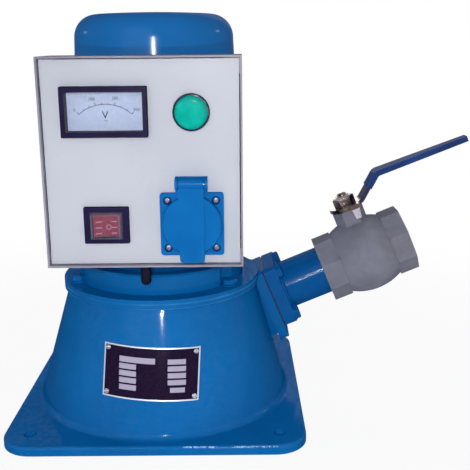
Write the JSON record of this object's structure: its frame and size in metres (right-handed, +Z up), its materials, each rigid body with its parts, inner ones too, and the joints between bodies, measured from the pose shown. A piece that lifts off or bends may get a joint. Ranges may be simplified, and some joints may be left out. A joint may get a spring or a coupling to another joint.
{
  "type": "hydroelectric generator",
  "caption": "Small vertical hydroelectric generator: conical turbine casing on a square base, inclined ball valve inlet, finned generator on top and a control box with meter, switch and socket",
  "frame": {"origin": "middle of the underside of the base plate, in the centre of its four bolt holes", "axes": "X points to the side of the water inlet, -Y points to the front with the control box, Z points up along the shaft"},
  "size_m": [0.4319, 0.2695, 0.364],
  "materials": {
    "bell_bolts": "blue gloss paint",
    "box_bracket": "blue gloss paint",
    "cable_gland": "black",
    "control_box": "pale grey paint",
    "end_bell": "blue gloss paint on a casting",
    "front_panel": "pale grey paint",
    "generator_cover": "blue gloss paint",
    "generator_frame": "blue gloss paint on a finned casting",
    "gland_nut": "nickel plated",
    "inlet_bolts": "blue gloss paint",
    "inlet_flange": "blue gloss paint",
    "inlet_gasket": "black sheet rubber",
    "inlet_pipe": "blue gloss paint",
    "lamp_lens": "green",
    "lamp_ring": "black",
    "lever_nut": "zinc plated",
    "lever_sleeve": "blue dipped vinyl",
    "lid_pin": "plain",
    "meter_case": "black",
    "meter_dial": "pale printed dial",
    "meter_window": "clear",
    "nameplate": "black printed with a bare silver edge",
    "nameplate_rivets": "plain",
    "nozzle": "machined",
    "runner": "cast and ground stainless steel",
    "runner_nut": "plain",
    "shaft": "ground",
    "socket_base": "blue",
    "socket_lid": "blue",
    "socket_screws": "plated",
    "switch_boot": "clear soft plastic",
    "switch_frame": "black",
    "switch_rocker": "dark red",
    "turbine_casing": "blue gloss paint on a casting",
    "upper_shield": "blue gloss paint on a casting",
    "valve_ball": "polished",
    "valve_body": "grey nickel plated",
    "valve_cap": "grey nickel plated",
    "valve_lever": "zinc plated",
    "valve_stem": "plain"
  },
  "bodies": {
    "generator": {"bell_bolts": "bell_bolts", "box_bracket": "box_bracket", "cable_gland": "cable_gland", "control_box": "control_box", "end_bell": "end_bell", "front_panel": "front_panel", "generator_cover": "generator_cover", "generator_frame": "generator_frame", "gland_nut": "gland_nut", "inlet_bolts": "inlet_bolts", "inlet_flange": "inlet_flange", "inlet_gasket": "inlet_gasket", "inlet_pipe": "inlet_pipe", "lamp_lens": "lamp_lens", "lamp_ring": "lamp_ring", "lid_pin": "lid_pin", "meter_case": "meter_case", "meter_dial": "meter_dial", "meter_window": "meter_window", "nameplate": "nameplate", "nameplate_rivets": "nameplate_rivets", "nozzle": "nozzle", "runner": "runner", "runner_nut": "runner_nut", "shaft": "shaft", "socket_base": "socket_base", "socket_screws": "socket_screws", "switch_boot": "switch_boot", "switch_frame": "switch_frame", "turbine_casing": "turbine_casing", "upper_shield": "upper_shield", "valve_body": "valve_body", "valve_cap": "valve_cap"},
    "valve_handle": {"valve_ball": "valve_ball", "valve_stem": "valve_stem", "valve_lever": "valve_lever", "lever_sleeve": "lever_sleeve", "lever_nut": "lever_nut"},
    "socket_flap": {"socket_lid": "socket_lid"},
    "rocker": {"switch_rocker": "switch_rocker"}
  },
  "joints": [
    {"name": "lever_turn", "type": "hinge", "parent": "generator", "child": "valve_handle", "pos_m": [0.20274, 0.04, 0.12853], "axis": [-0.3827, 0, 0.9239], "range_deg": [-90, 0]},
    {"name": "lid_flap", "type": "hinge", "parent": "generator", "child": "socket_flap", "pos_m": [0.0377, -0.133, 0.2322], "axis": [-1, 0, 0], "range_deg": [0, 100], "stiffness_Nm_per_rad": 0.01, "springref_deg": -34.38},
    {"name": "rocker_tilt", "type": "hinge", "parent": "generator", "child": "rocker", "pos_m": [-0.0296, -0.1235, 0.1986], "axis": [0, 0, 1], "range_deg": [-16, 0]}
  ]
}
